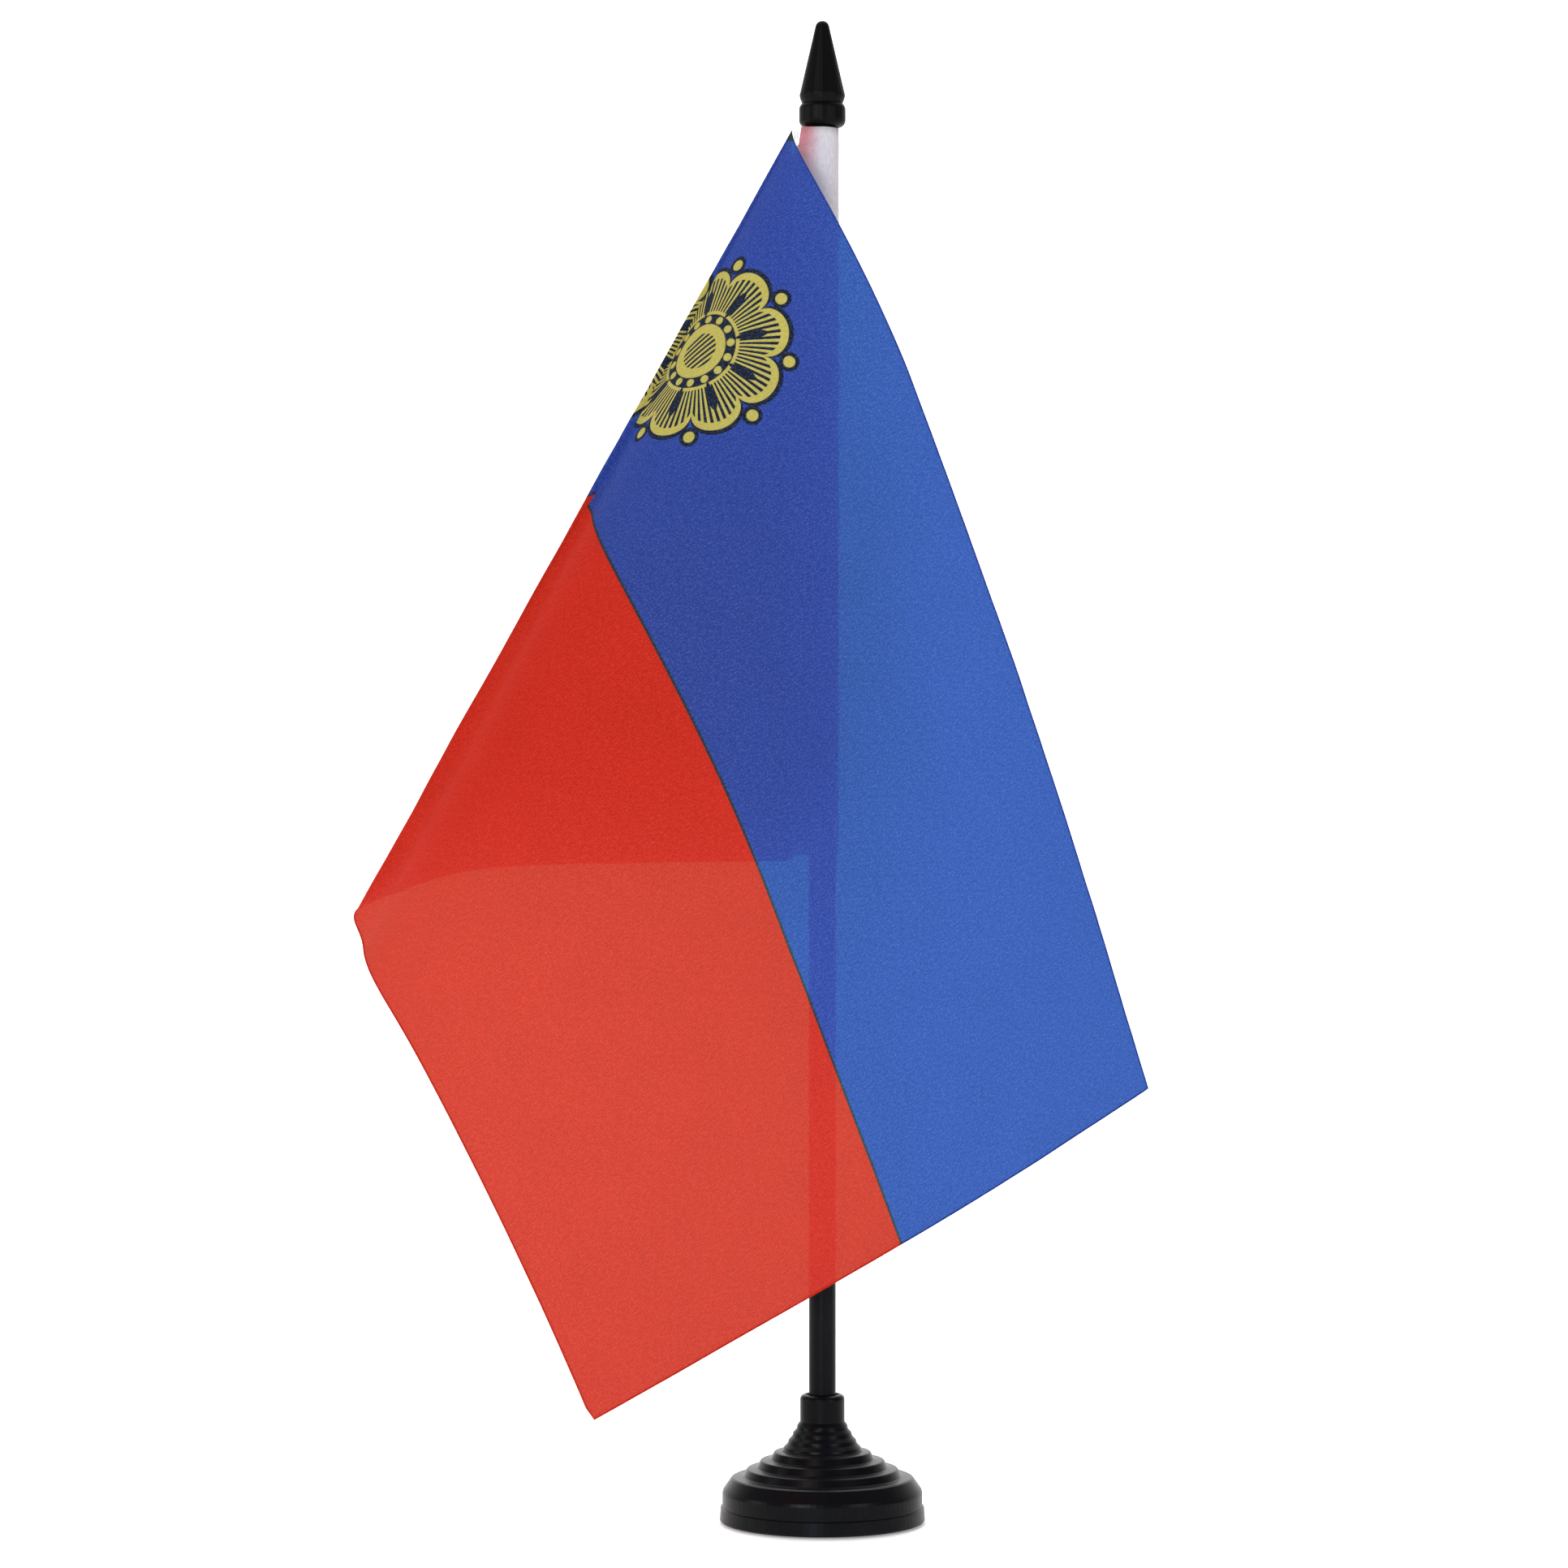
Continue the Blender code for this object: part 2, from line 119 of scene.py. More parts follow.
# The emblem, in millimetres on the cut cloth
EMBLEM_S = 33.7                   # its centre
EMBLEM_T = 34.8
EMBLEM_SCALE = 0.9
EMBLEM_PETALS = 9
RIM_FOOT = 12.2                   # radius at the petals' joints
RIM_BOW = 4.0                     # how far a petal stands out beyond them
OUTLINE_WIDTH = 0.85
HATCH_FOOT = 7.7
HATCH_LINES = 9                   # in each petal
SLIT_FOOT = 6.6
SLIT_LENGTH = 6.4
SLIT_WIDTH = 0.13
STUD_PLACE = 16.6
STUD_SIZE = 1.02
STUD_OUTLINE = 1.75
RING_INNER = 5.2
RING_OUTER = 7.1
RING_BEADS = 14
BEAD_SIZE = 0.72
BOSS_SIZE = 3.4
BOSS_HATCH = 6.5
PRINT_BLUR = 0.1
WHOLE_TURNS = 100                 # keeps the fraction of a turn positive

# Dyes and weave
STRIPE_LINE = 67.8                # the stripes' boundary below the top edge, in mm
STRIPE_EDGE = 0.26                # half the width of the dark line where the dyes overlap
BLUE = (0.034, 0.071, 0.36)
RED = (0.744, 0.031, 0.012)
GOLD = (0.66, 0.56, 0.115)
NAVY = (0.012, 0.018, 0.035)
LINE_COLOUR = (0.03, 0.045, 0.05)
WHITE = (0.86, 0.82, 0.86)
SET_OFF = (0.72, 0.30, 0.34)      # dye rubbed off on the white sleeve near its top
SET_OFF_REACH = (13 * MM, 1 * MM)  # it grows between these depths below the top
SET_OFF_SIDE = (-3.6 * MM, 0.2 * MM)
SHADED_CORNER_SIZE = 2.5                  # size of the dark top corner, painted shade where the fold's inside is in shadow, in mm
SHADED_CORNER_SLOPE = 0.6
GLOW = 0.36                       # light from behind that the cloth scatters through
SEE_THROUGH = 0.06                # light that goes straight through the thin weave
SEE_THROUGH_DOUBLE = 0.03         # and through the sleeve
BLUE_THROUGH = (0.04, 0.36, 0.52)
RED_THROUGH = (0.03, 0.22, 0.125)
RED_DAMP = 0.65                   # share of the glow that the heavier red dye holds back
PAINTED_GLINT_COLOUR = (0.34, 0.40, 0.62)        # painted highlight: glints of single satin floats, put into the base colour
PAINTED_GLINT_SHARE = 0.17
PAINTED_GLINT_DAMP = 0.75                 # share of the painted glints that the red dye covers
MOTTLE_SCALE = 0.09               # noise scales, per mm
FIBRE_SCALE = 2.8
WEAVE_ANGLE = 38
WEAVE_SCALE = (2.4, 0.8, 1.0)     # per mm, across and along the slanting threads
TWILL = (7.5, 11.5)               # radians per mm along and down the cloth
FLOATS = (31.0, -9.0)
CLOTH_ROUGHNESS = 0.52

# Stage, lights and camera, in metres and watts
STAGE_SIZE = 3.0
FLOOR_ROWS = (-3.0, -0.5, 0.6)    # front to back; the floor curves up after the last one
COVE_RADIUS = 0.8
COVE_STEPS = 12
FLOOR_GLOW = 0.3                  # the floor is lit from below like a light table
SURROUND = 0.10
DAYLIGHT = (1.0, 1.0, 1.0)
# Each light: name, place, what it points at, size, power, colour.
LIGHTS = (
    ("key_left", (-0.55, -1.2, 0.65), (0, 0, 0.13), (0.45, 0.6), 9.5, DAYLIGHT),
    ("fill_right", (0.9, -0.95, 0.45), (0, 0, 0.13), (0.5, 0.6), 4.5, DAYLIGHT),
    ("low_strip", (-0.105, -0.62, 0.06), (0, 0, 0.01), (0.025, 0.1), 0.5, (0.5, 0.75, 1.0)),
    ("overhead", (0, 0.8, 1.5), (0, 0.45, 0), (1.6, 1.0), 16.0, DAYLIGHT),
    ("left_side", (-1.2, -0.15, 0.35), (0, 0, 0.13), (0.4, 0.6), 3.0, DAYLIGHT),
    ("backdrop_light", (0, 0.3, 1.3), (0, 1.3, 0.3), (2.0, 0.5), 10.0, DAYLIGHT),
)
CAMERA_SIDE = -7.4 * MM
CAMERA_DISTANCE = 850 * MM
CAMERA_HEIGHT = 142.6 * MM
CAMERA_LENS = 101.06              # mm, on a 36 mm wide sensor


# ---------------------------------------------------------------- node materials

class Shader:
    """A node material built from short expressions. Values may be numbers or sockets."""

    def __init__(self, name):
        self.material = bpy.data.materials.new(name)
        self.material.use_nodes = True
        self.nodes = self.material.node_tree.nodes
        self.links = self.material.node_tree.links
        self.surface = self.nodes["Principled BSDF"]
        self.output = self.nodes["Material Output"]

    def put(self, socket, value):
        if isinstance(value, bpy.types.NodeSocket):
            self.links.new(value, socket)
        elif isinstance(value, tuple) and len(value) == 3 and socket.type == "RGBA":
            socket.default_value = (*value, 1.0)
        else:
            socket.default_value = value

    def add(self, kind, settings=None, **inputs):
        node = self.nodes.new("ShaderNode" + kind)
        for key, value in (settings or {}).items():
            setattr(node, key, value)
        for key, value in inputs.items():
            self.put(node.inputs[key.replace("_", " ")], value)
        return node

    def math(self, operation, *values):
        node = self.nodes.new("ShaderNodeMath")
        node.operation = operation
        for socket, value in zip(node.inputs, values):
            self.put(socket, value)
        return node.outputs[0]

    def step(self, value, low, high):
        """0 below low, 1 above high, smooth between."""
        node = self.add("MapRange", {"interpolation_type": "SMOOTHSTEP"}, Value=value)
        self.put(node.inputs["From Min"], low)
        self.put(node.inputs["From Max"], high)
        return node.outputs[0]

    def outside(self, value, limit):
        return self.step(value, limit - PRINT_BLUR, limit + PRINT_BLUR)

    def inside(self, value, limit):
        return self.math("SUBTRACT", 1.0, self.outside(value, limit))

    def distance(self, first, second):
        squares = [self.math("MULTIPLY", value, value) for value in (first, second)]
        return self.math("SQRT", self.math("ADD", *squares))

    def blend(self, factor, first, second):
        node = self.nodes.new("ShaderNodeMix")
        node.data_type = "RGBA"
        self.put(node.inputs[0], factor)
        self.put(node.inputs[6], first)
        self.put(node.inputs[7], second)
        return node.outputs[2]

    def noise(self, scale, detail=3.0, vector=None):
        node = self.add("TexNoise", Scale=scale, Detail=detail)
        source = vector or self.add("TexCoord").outputs["Object"]
        self.links.new(source, node.inputs["Vector"])
        return node.outputs["Fac"]

    def finish(self, **inputs):
        for key, value in inputs.items():
            self.put(self.surface.inputs[key.replace("_", " ")], value)
        return self.material

    def bump(self, height, strength, distance, below=None):
        node = self.add("Bump", Strength=strength, Distance=distance, Height=height)
        if below is not None:
            self.links.new(below, node.inputs["Normal"])
        return node.outputs["Normal"]


def emblem(shader, s, t):
    """A generic printed rosette: petals with hatch lines round a boss, and studs between. Gives
    (gold share, dark share); s and t are millimetres on the cut cloth."""
    m = shader.math
    across = m("MULTIPLY", m("SUBTRACT", s, EMBLEM_S), EMBLEM_SCALE)
    down = m("MULTIPLY", m("SUBTRACT", t, EMBLEM_T), EMBLEM_SCALE)
    radius = shader.distance(across, down)
    angle = m("ARCTAN2", down, across)
    turn = m("MULTIPLY", angle, EMBLEM_PETALS / math.tau)
    # -0.5 to 0.5 across each petal
    share = m("SUBTRACT", m("FRACT", m("ADD", turn, WHOLE_TURNS + 0.25)), 0.5)
    side = m("ABSOLUTE", share)
    bow = m("SUBTRACT", 1.0, m("MULTIPLY", m("MULTIPLY", side, side), 4.0))
    rim = m("ADD", RIM_FOOT, m("MULTIPLY", m("SQRT", m("MAXIMUM", bow, 0.0)), RIM_BOW))
    edge = m("SUBTRACT", radius, rim)
    petal = shader.inside(edge, 0.0)
    outline = shader.inside(edge, OUTLINE_WIDTH)
    # hatch lines between the petal's rim and its heart
    lines = shader.step(m("SINE", m("MULTIPLY", angle, EMBLEM_PETALS * HATCH_LINES)), -0.2, 0.2)
    hatched = m("MULTIPLY", shader.outside(radius, HATCH_FOOT), shader.inside(edge, -1.4))
    hatch = m("MULTIPLY", lines, hatched)
    # a dark leaf-shaped slit up the middle of each petal
    along = m("MULTIPLY", m("SUBTRACT", radius, SLIT_FOOT), math.pi / SLIT_LENGTH)
    slit_width = m("MULTIPLY", m("SINE", along), SLIT_WIDTH)
    slit = shader.step(m("SUBTRACT", slit_width, side), -0.01, 0.01)
    slit = m("MULTIPLY", slit, m("MULTIPLY", shader.outside(radius, SLIT_FOOT),
                                 shader.inside(radius, SLIT_FOOT + SLIT_LENGTH)))
    # studs outside the petals' joints
    other = m("SUBTRACT", m("FRACT", m("ADD", turn, WHOLE_TURNS + 0.75)), 0.5)
    sideways = m("MULTIPLY", m("MULTIPLY", other, math.tau / EMBLEM_PETALS), radius)
    stud = shader.distance(sideways, m("SUBTRACT", radius, STUD_PLACE))
    stud_gold = shader.inside(stud, STUD_SIZE)
    stud_dark = shader.inside(stud, STUD_OUTLINE)
    # boss: a gold disc with a dark ring and a beaded ring round it
    ring = m("MULTIPLY", shader.outside(radius, RING_INNER), shader.inside(radius, RING_OUTER))
    bead_turn = m("FRACT", m("ADD", m("MULTIPLY", angle, RING_BEADS / math.tau), WHOLE_TURNS))
    bead_side = m("MULTIPLY", m("SUBTRACT", bead_turn, 0.5), math.tau / RING_BEADS)
    bead_out = m("SUBTRACT", radius, (RING_INNER + RING_OUTER) / 2)
    bead = shader.inside(shader.distance(m("MULTIPLY", bead_side, radius), bead_out), BEAD_SIZE)
    boss_hatch = shader.step(m("SINE", m("MULTIPLY", across, BOSS_HATCH)), -0.3, 0.3)
    boss = m("MULTIPLY", shader.inside(radius, BOSS_SIZE), boss_hatch)
    gold = m("MULTIPLY", petal, m("SUBTRACT", 1.0, m("MAXIMUM", hatch, slit)))
    gold = m("MULTIPLY", gold, m("SUBTRACT", 1.0, ring))
    gold = m("MAXIMUM", gold, m("MULTIPLY", ring, bead))
    gold = m("MULTIPLY", gold, m("SUBTRACT", 1.0, boss))
    gold = m("MAXIMUM", gold, stud_gold)
    return gold, m("MAXIMUM", outline, stud_dark)


def satin(name, printed):
    """Thin woven satin, lit from both sides. The printed cloth carries the stripes and the emblem."""
    shader = Shader(name)
    m = shader.math
    uv = shader.add("UVMap", {"uv_map": "cut"}).outputs[0]
    parts = shader.add("SeparateXYZ", Vector=uv)
    s, t = parts.outputs[0], parts.outputs[1]
    flat = shader.add("CombineXYZ", X=s, Y=t).outputs[0]
    mottle = shader.noise(MOTTLE_SCALE, 4.0, flat)
    fibre = shader.noise(FIBRE_SCALE, 3.0, flat)
    colour = WHITE
    tint = WHITE
    if printed:
        below = m("SUBTRACT", t, STRIPE_LINE)
        lower = shader.outside(below, 0.0)
        colour = shader.blend(lower, BLUE, RED)
        tint = shader.blend(lower, BLUE_THROUGH, RED_THROUGH)
        seam = shader.inside(m("ABSOLUTE", below), STRIPE_EDGE)
        colour = shader.blend(seam, colour, LINE_COLOUR)
        gold, cover = emblem(shader, s, t)
        colour = shader.blend(cover, colour, NAVY)
        tint = shader.blend(cover, tint, NAVY)
        colour = shader.blend(gold, colour, GOLD)
        # painted shade: the flag's top corner is darkened where the inside of the fold lies in shadow
        corner = shader.inside(m("ADD", t, m("MULTIPLY", s, SHADED_CORNER_SLOPE)), SHADED_CORNER_SIZE)
        colour = shader.blend(corner, colour, LINE_COLOUR)
    else:
        place = shader.add("SeparateXYZ", Vector=shader.add("TexCoord").outputs["Object"]).outputs
        high = shader.step(place[2], FLAG_TOP - SET_OFF_REACH[0], FLAG_TOP - SET_OFF_REACH[1])
        left = m("SUBTRACT", 1.0, shader.step(place[0], *SET_OFF_SIDE))
        colour = shader.blend(m("MULTIPLY", high, left), WHITE, SET_OFF)
    # satin weave: fine diagonal floats, with uneven threads and a soft cloudiness
    slant = shader.add("Mapping", Vector=flat)
    slant.inputs["Rotation"].default_value = (0, 0, math.radians(WEAVE_ANGLE))
    slant.inputs["Scale"].default_value = WEAVE_SCALE
    slub = shader.noise(1.0, 3.0, slant.outputs[0])
    twill, floats = [m("SINE", m("ADD", m("MULTIPLY", s, pitch), m("MULTIPLY", t, fall)))
                     for pitch, fall in (TWILL, FLOATS)]
    weave = m("ADD", m("MULTIPLY", twill, 0.5), m("MULTIPLY", floats, 0.3))
    grain = 0.55 if printed else 0.25
    tone = m("ADD", m("MULTIPLY", weave, 0.06), m("MULTIPLY", m("SUBTRACT", fibre, 0.5), grain))
    tone = m("ADD", tone, m("MULTIPLY", m("SUBTRACT", slub, 0.5), 0.4))
    tone = m("ADD", tone, m("MULTIPLY", m("SUBTRACT", mottle, 0.5), 0.12))
    value = m("ADD", 1.0, tone)
    colour = shader.add("HueSaturation", Color=colour, Value=value).outputs[0]
    glow_colour = colour
    if printed:
        # painted highlight: paler bluish specks in the base colour stand for glints of the satin
        # floats
        painted_glint = shader.step(m("ADD", fibre, m("MULTIPLY", slub, 0.4)), 0.62, 0.95)
        shown = m("SUBTRACT", 1.0, m("MULTIPLY", lower, PAINTED_GLINT_DAMP))
        painted_glint = m("MULTIPLY", m("MULTIPLY", painted_glint, PAINTED_GLINT_SHARE), shown)
        glow_colour = shader.blend(m("MULTIPLY", lower, RED_DAMP), colour, LINE_COLOUR)
        colour = shader.blend(painted_glint, colour, PAINTED_GLINT_COLOUR)
    height = m("ADD", weave, m("MULTIPLY", slub, 2.0))
    normal = shader.bump(height, 0.3, 0.0001)
    rough = m("ADD", CLOTH_ROUGHNESS, m("MULTIPLY", m("SUBTRACT", slub, 0.5), 0.3))
    shader.finish(Base_Color=colour, Roughness=rough, Normal=normal,
                  Specular_IOR_Level=0.02)
    glow = shader.add("BsdfTranslucent", Color=glow_colour, Normal=normal)
    lit = shader.add("MixShader", Fac=GLOW)
    shader.links.new(shader.surface.outputs[0], lit.inputs[1])
    shader.links.new(glow.outputs[0], lit.inputs[2])
    open_weave = shader.add("BsdfTransparent", Color=tint)
    mixed = shader.add("MixShader", Fac=SEE_THROUGH if printed else SEE_THROUGH_DOUBLE)
    shader.links.new(lit.outputs[0], mixed.inputs[1])
    shader.links.new(open_weave.outputs[0], mixed.inputs[2])
    shader.links.new(mixed.outputs[0], shader.output.inputs["Surface"])
    return shader.material


def moulded(name, colour, gloss, grain):
    """Injection-moulded plastic: faint orange peel, hair scratches, and a painted highlight that makes
    the rounded edges paler in cloudy patches.
    """
    shader = Shader(name)
    m = shader.math
    place = shader.add("TexCoord").outputs["Object"]
    peel = shader.noise(900.0, 2.0, place)
    cloud = shader.noise(60.0, 4.0, place)
    stretched = shader.add("Mapping", Vector=place)
    stretched.inputs["Scale"].default_value = (4000.0, 4000.0, 260.0)
    hair = shader.noise(1.0, 2.0, stretched.outputs[0])
    scratch = shader.step(hair, 0.66, 0.72)
    # painted highlight: convex edges, found by pointiness, are made paler in the base colour
    edge_highlight = shader.step(shader.add("NewGeometry").outputs["Pointiness"], 0.53, 0.62)
    edge_highlight = m("MULTIPLY", edge_highlight, shader.step(cloud, 0.4, 0.7))
    highlight_colour = tuple(0.012 + 1.6 * channel for channel in colour)
    tone = shader.blend(m("MULTIPLY", edge_highlight, 0.5), colour, highlight_colour)
    rough = m("ADD", gloss, m("MULTIPLY", m("SUBTRACT", cloud, 0.5), 0.12))
    rough = m("ADD", rough, m("MULTIPLY", scratch, 0.08))
    normal = shader.bump(peel, grain, 0.00004)
    return shader.finish(Base_Color=tone, Roughness=rough, Normal=normal, Specular_IOR_Level=0.07)


def cast_steel(name):
    shader = Shader(name)
    m = shader.math
    grain = shader.noise(700.0, 5.0)
    rust = shader.step(shader.noise(120.0, 5.0), 0.56, 0.7)
    colour = shader.blend(rust, (0.24, 0.235, 0.23), (0.12, 0.07, 0.04))
    rough = m("ADD", 0.42, m("MULTIPLY", rust, 0.35))
    metal = m("SUBTRACT", 1.0, m("MULTIPLY", rust, 0.8))
    return shader.finish(Base_Color=colour, Roughness=rough, Metallic=metal,
                         Normal=shader.bump(grain, 0.4, 0.0001))


def spun_thread(name):
    """Polyester sewing thread: twisted plies, with painted shade darkening the grooves between them.
    """
    shader = Shader(name)
    m = shader.math
    place = shader.add("SeparateXYZ", Vector=shader.add("TexCoord").outputs["Object"]).outputs
    ply = m("SINE", m("ADD", m("MULTIPLY", place[2], 15000.0), m("MULTIPLY", place[1], 15000.0)))
    # painted shade: the colour is darker where the ply wave dips into the grooves
    tone = shader.blend(shader.step(ply, -1.0, 1.0), (0.62, 0.62, 0.63), (0.80, 0.80, 0.81))
    return shader.finish(Base_Color=tone, Roughness=0.6, Normal=shader.bump(ply, 0.5, 0.00003))


def foam(name):
    shader = Shader(name)
    cells = shader.add("TexVoronoi", Scale=1500.0)
    shader.links.new(shader.add("TexCoord").outputs["Object"], cells.inputs["Vector"])
    # painted shade: the cells' hollows are darker, the ridges between them paler
    tone = shader.blend(cells.outputs["Distance"], (0.02, 0.02, 0.021), (0.05, 0.05, 0.052))
    return shader.finish(Base_Color=tone, Roughness=0.92,
                         Normal=shader.bump(cells.outputs["Distance"], 0.6, 0.0002))


def paper_white(name):
    shader = Shader(name)
    tint = shader.blend(shader.noise(6.0, 2.0), (0.93, 0.93, 0.93), (0.95, 0.95, 0.95))
    return shader.finish(Base_Color=tint, Roughness=0.9, Emission_Color=tint,
                         Emission_Strength=FLOOR_GLOW)


# ---------------------------------------------------------------- the folded flag

def link(name, mesh, material):
    item = bpy.data.objects.new(name, mesh)
    bpy.context.collection.objects.link(item)
    mesh.materials.append(material)
    mesh.shade_smooth()
    return item


def fan_centre():
    return Vector((-math.sin(FOLD_START), -math.cos(FOLD_START))) * FAN_REACH


def bend_lines():
    """Straight lines of the flat cloth about which it bends: (point, angle from the hoist, turn)."""
    lines = []
    first, last = REAR_ANGLES
    for step in range(REAR_LINES):
        share = step / (REAR_LINES - 1)
        lines.append((Vector((0, 0)), first + (last - first) * share, REAR_TURN / REAR_LINES))
    centre = fan_centre()
    for step in range(FOLD_LINES):
        share = (step + 0.5) / FOLD_LINES
        weight = 1 - FOLD_TIGHTNESS * math.cos(math.tau * share)
        lines.append((centre, FOLD_START + FOLD_SPREAD * share, weight * FOLD_TURN / FOLD_LINES))
    angle = FOLD_START + FOLD_SPREAD
    along = centre.x - centre.y * math.tan(angle)
    start = 0.0
    for reach, swing, turn in DRAPE:
        for step in range(DRAPE_LINES):
            share = (step + 0.5) / DRAPE_LINES
            point = Vector((along + start + (reach - start) * share, 0))
            lines.append((point, angle + swing * share, turn / DRAPE_LINES))
        angle += swing
        start = reach
    return lines


def opening(flat):
    """The two halves stand apart beside the fold: the rear one back, the front one forward."""
    middle = FOLD_START + FOLD_SPREAD / 2
    offset = flat - fan_centre()
    across = offset.x * math.cos(middle) - offset.y * math.sin(middle)
    along = max(offset.x * math.sin(middle) + offset.y * math.cos(middle), 0.0)
    fade = math.exp(-(across / OPENING_REACH) ** 2) * (1 - math.exp(-(flat.x / OPENING_SEAM) ** 2))
    return OPENING * along * math.tanh(across / OPENING_ONSET) * fade


def strip_placements(lines):
    sideways = Vector((-math.cos(FLAG_AZIMUTH), -math.sin(FLAG_AZIMUTH), 0))
    down = Vector((0, 0, -1))
    placement = Matrix((sideways, down.cross(sideways), down)).transposed().to_4x4()
    placement.translation = sideways * SEAM_RADIUS + Vector((0, 0, FLAG_TOP - CORNER_DROP))
    placements = [placement]
    for point, angle, turn in lines:
        pivot = Vector((point.x, 0, point.y))
        axis = Vector((math.sin(angle), 0, math.cos(angle)))
        hinge = Matrix.Translation(pivot) @ Matrix.Rotation(turn, 4, axis) @ Matrix.Translation(-pivot)
        placements.append(placements[-1] @ hinge)
    return placements


def column_ends(point, angle):
    """Where a bend line enters the cloth at its top edge and leaves it below or at the fly."""
    start = point.x - point.y * math.tan(angle)
    end = Vector((start + FLAG_HEIGHT * math.tan(angle), FLAG_HEIGHT))
    if end.x > FLAG_LENGTH:
        end = Vector((FLAG_LENGTH, (FLAG_LENGTH - start) / math.tan(angle)))
    return Vector((start, 0)), end


def cloth_columns(lines):
    """The mesh's columns as (top end, lower end, strip after)."""
    corner = Vector((0, 0))
    first_end = column_ends(lines[0][0], lines[0][1])[1]
    columns = []
    for step in range(REAR_COLUMNS):
        columns.append((corner, Vector((first_end.x * step / REAR_COLUMNS, FLAG_HEIGHT)), 0))
    for index, (point, angle, _turn) in enumerate(lines):
        top, end = column_ends(point, angle)
        if end.x >= FLAG_LENGTH and columns[-1][1].x < FLAG_LENGTH:
            columns.append(((columns[-1][0] + top) / 2, Vector((FLAG_LENGTH, FLAG_HEIGHT)), index))
        columns.append((top, end, index + 1))
    last_top, last_end = columns[-1][:2]
    tip = Vector((FLAG_LENGTH, 0))
    for step in range(1, TIP_COLUMNS + 1):
        share = step / TIP_COLUMNS
        columns.append((last_top.lerp(tip, share), last_end.lerp(tip, share), len(lines)))
    return columns


def cloth_point(flat, placement):
    point = placement @ Vector((flat.x, 0, flat.y))
    point.y -= opening(flat)
    hold = 1 - math.exp(-(flat.x / OPENING_SEAM) ** 2)
    broad, (along, down) = RIPPLE_SCALES
    ripple = noise.noise(Vector((flat.x * broad, flat.y * broad, 3.7)))
    ripple += RIPPLE_SHARE * noise.noise(Vector((flat.x * along, flat.y * down, 9.1)))
    normal = placement.col[1].to_3d().normalized()
    return point + normal * (RIPPLE * hold * ripple)


def make_flag(material):
    """The printed cloth. Its UV map "cut" holds millimetres on the flat cloth."""
    lines = bend_lines()
    placements = strip_placements(lines)
    shape = bmesh.new()
    layer = shape.loops.layers.uv.new("cut")
    grid = []
    cut = {}
    for top, end, strip in cloth_columns(lines):
        column = []
        offset = end.x - TIP_AT
        width = TIP_WIDTHS[0] if offset < 0 else TIP_WIDTHS[1]
        sag = (end - top).normalized() * (TIP_SAG * math.exp(-(offset / width) ** 2))
        for row in range(CLOTH_ROWS + 1):
            share = row / CLOTH_ROWS
            flat = top.lerp(end, share)
            vertex = shape.verts.new(cloth_point(flat + sag * share ** 2, placements[strip]))
            cut[vertex] = tuple(flat / MM)
            column.append(vertex)
        grid.append(column)
    for left, right in zip(grid, grid[1:]):
        for row in range(CLOTH_ROWS):
            face = shape.faces.new((left[row], left[row + 1], right[row + 1], right[row]))
            for loop in face.loops:
                loop[layer].uv = cut[loop.vert]
    ends = [column[0] for column in grid] + [column[-1] for column in reversed(grid)]
    border = [(vertex.co.copy(), cut[vertex]) for vertex in ends]
    bmesh.ops.remove_doubles(shape, verts=shape.verts, dist=0.002 * MM)
    mesh = bpy.data.meshes.new("flag_fabric")
    shape.to_mesh(mesh)
    shape.free()
    return link("flag_fabric", mesh, material), border


def make_cut_edge(border, material):
    """The melted bead along the cut edges, a thin tube in the print's own colours."""
    path = [border[0]]
    for place, flat in border[1:]:
        if (place - path[-1][0]).length > EDGE_STEP:
            path.append((place, flat))
    shape = bmesh.new()
    layer = shape.loops.layers.uv.new("cut")
    rings = []
    for index, (place, flat) in enumerate(path):
        before = path[max(index - 1, 0)][0]
        after = path[min(index + 1, len(path) - 1)][0]
        along = (after - before).normalized()
        first = along.orthogonal().normalized()
        if rings:
            first = (rings[-1][1] - along * rings[-1][1].dot(along)).normalized()
        second = along.cross(first)
        ring = []
        for side in range(EDGE_SIDES):
            angle = math.tau * side / EDGE_SIDES
            offset = first * math.cos(angle) + second * math.sin(angle)
            ring.append(shape.verts.new(place + offset * EDGE_RADIUS))
        rings.append((ring, first, flat))
    for (ring, _first, flat), (following, _next, next_flat) in zip(rings, rings[1:]):
        for side in range(EDGE_SIDES):
            other = (side + 1) % EDGE_SIDES
            face = shape.faces.new((ring[side], ring[other], following[other], following[side]))
            for loop, spot in zip(face.loops, (flat, flat, next_flat, next_flat)):
                loop[layer].uv = spot
    for ring, _first, flat in (rings[0], rings[-1]):
        for loop in shape.faces.new(ring).loops:
            loop[layer].uv = flat
    bmesh.ops.recalc_face_normals(shape, faces=shape.faces)
    mesh = bpy.data.meshes.new("flag_cut_edge")
    shape.to_mesh(mesh)
    shape.free()
    return link("flag_cut_edge", mesh, material)


